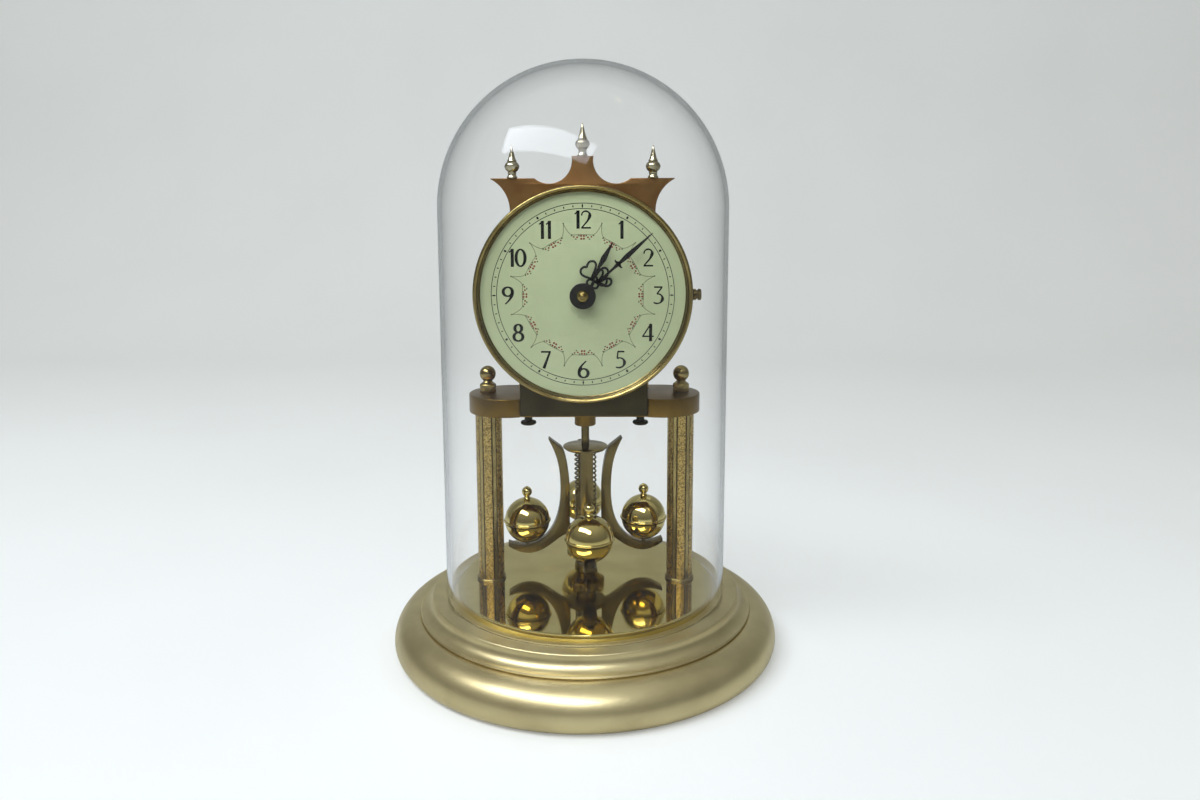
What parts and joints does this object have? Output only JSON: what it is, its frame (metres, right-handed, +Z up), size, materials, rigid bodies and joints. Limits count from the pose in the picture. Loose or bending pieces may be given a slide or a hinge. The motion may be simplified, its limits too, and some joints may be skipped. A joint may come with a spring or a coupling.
{
  "type": "dome clock",
  "caption": "Torsion-pendulum clock with round dial and rotating ball pendulum, on a moulded round base under a lift-off glass dome.",
  "frame": {"origin": "centre of the base's underside, on the table", "axes": "+Z up; the dial faces -Y and its three o'clock points to +X"},
  "size_m": [0.1966, 0.1966, 0.2939],
  "materials": {
    "gold_paint": "satin gold paint",
    "felt": "felt",
    "mirror_brass": "mirror polish",
    "brass": "lacquered polish",
    "bronzed_brass": "brushed, darkened",
    "glass": "clear",
    "dial_enamel": "gloss",
    "black_lacquer": "gloss",
    "steel": "satin"
  },
  "bodies": {
    "frame": {"base_shell": "gold_paint", "base_cover": "felt", "floor_plate": "mirror_brass", "guide_cup": "brass", "pillar_left": "brass", "pillar_right": "brass", "pillar_foot_rings": "brass", "ball_nuts": "brass", "guide_tube": "brass", "distance_bars": "brass", "crown_finials": "brass", "dial_posts": "brass", "bezel": "brass", "bezel_screw": "brass", "suspension_bracket": "brass", "suspension_top_block": "brass", "thumb_screws": "brass", "platform": "bronzed_brass", "front_plate": "bronzed_brass", "back_plate": "bronzed_brass", "dial": "dial_enamel", "tie_rods": "steel", "tie_nuts": "steel", "back_plate_screws": "steel", "click_screw": "steel", "suspension_pin": "steel", "suspension_strip": "steel"},
    "dome": {"glass_dome": "glass"},
    "pendulum": {"pendulum_rod": "brass", "pendulum_hub": "brass", "pendulum_arms": "brass", "pendulum_balls": "mirror_brass", "ball_finials": "mirror_brass", "pendulum_nut": "brass", "regulator_spring": "steel", "suspension_bottom_block": "brass"},
    "regulator": {"regulator_disc": "brass"},
    "minute": {"minute_hand": "black_lacquer", "hand_nut": "brass", "cannon_pinion": "brass", "centre_wheel": "brass"},
    "hour": {"hour_hand": "black_lacquer", "hour_wheel": "brass"},
    "minute_work": {"minute_wheel": "brass"},
    "third": {"third_wheel": "brass"},
    "second": {"second_wheel": "brass"},
    "barrel": {"mainspring_barrel": "brass"},
    "fourth": {"fourth_wheel": "brass"},
    "escape": {"escape_wheel": "brass"},
    "winding": {"winding_arbor": "steel", "ratchet_wheel": "steel"},
    "click_lever": {"click": "steel"},
    "anchor_lever": {"anchor": "steel"},
    "fork": {"suspension_fork": "brass"}
  },
  "joints": [
    {"name": "dome_lift", "type": "slide", "parent": "frame", "child": "dome", "axis": [0, 0, 1], "range_m": [0, 0.25]},
    {"name": "pendulum_swing", "type": "hinge", "parent": "frame", "child": "pendulum", "pos_m": [0, 0.016, 0.1], "axis": [0, 0, 1], "range_deg": [-150, 150]},
    {"name": "regulator_turn", "type": "hinge", "parent": "pendulum", "child": "regulator", "pos_m": [0, 0.016, 0.0977], "axis": [0, 0, 1], "range_deg": [-180, 180]},
    {"name": "minute_turn", "type": "hinge", "parent": "frame", "child": "minute", "pos_m": [0, 0, 0.1823], "axis": [0, 1, 0], "continuous": true},
    {"name": "hour_turn", "type": "hinge", "parent": "frame", "child": "hour", "pos_m": [0, 0, 0.1823], "axis": [0, 1, 0], "continuous": true},
    {"name": "minute_work_turn", "type": "hinge", "parent": "frame", "child": "minute_work", "pos_m": [-0.00748, 0, 0.18662], "axis": [0, 1, 0], "continuous": true},
    {"name": "third_turn", "type": "hinge", "parent": "frame", "child": "third", "pos_m": [0.01184, 0, 0.17593], "axis": [0, 1, 0], "continuous": true},
    {"name": "second_turn", "type": "hinge", "parent": "frame", "child": "second", "pos_m": [0.01591, 0, 0.16137], "axis": [0, 1, 0], "continuous": true},
    {"name": "barrel_turn", "type": "hinge", "parent": "frame", "child": "barrel", "pos_m": [-0.006, 0, 0.1555], "axis": [0, 1, 0], "continuous": true},
    {"name": "fourth_turn", "type": "hinge", "parent": "frame", "child": "fourth", "pos_m": [-0.00468, 0, 0.19204], "axis": [0, 1, 0], "continuous": true},
    {"name": "escape_turn", "type": "hinge", "parent": "frame", "child": "escape", "pos_m": [0, 0, 0.1993], "axis": [0, 1, 0], "continuous": true},
    {"name": "winding_turn", "type": "hinge", "parent": "frame", "child": "winding", "pos_m": [-0.006, 0, 0.1555], "axis": [0, 1, 0], "continuous": true},
    {"name": "click_lift", "type": "hinge", "parent": "frame", "child": "click_lever", "pos_m": [-0.023, 0, 0.1615], "axis": [0, -1, 0], "range_deg": [0, 12]},
    {"name": "anchor_rock", "type": "hinge", "parent": "frame", "child": "anchor_lever", "pos_m": [0, 0, 0.2099], "axis": [0, 1, 0], "range_deg": [-1.7, 1.7]},
    {"name": "fork_twist", "type": "hinge", "parent": "frame", "child": "fork", "pos_m": [0, 0.016, 0.22], "axis": [0, 0, 1], "range_deg": [-4.6, 4.6]}
  ],
  "couplings": [
    {"joint": "hour_turn", "follows": "minute_turn", "ratio": 0.083333},
    {"joint": "minute_work_turn", "follows": "minute_turn", "ratio": -0.33333},
    {"joint": "third_turn", "follows": "minute_turn", "ratio": -0.16667},
    {"joint": "second_turn", "follows": "minute_turn", "ratio": 0.027778},
    {"joint": "barrel_turn", "follows": "minute_turn", "ratio": -0.0034722},
    {"joint": "fourth_turn", "follows": "minute_turn", "ratio": -4},
    {"joint": "escape_turn", "follows": "minute_turn", "ratio": 12},
    {"joint": "fork_twist", "follows": "pendulum_swing", "ratio": 0.03},
    {"joint": "anchor_rock", "follows": "pendulum_swing", "ratio": 0.010909}
  ]
}
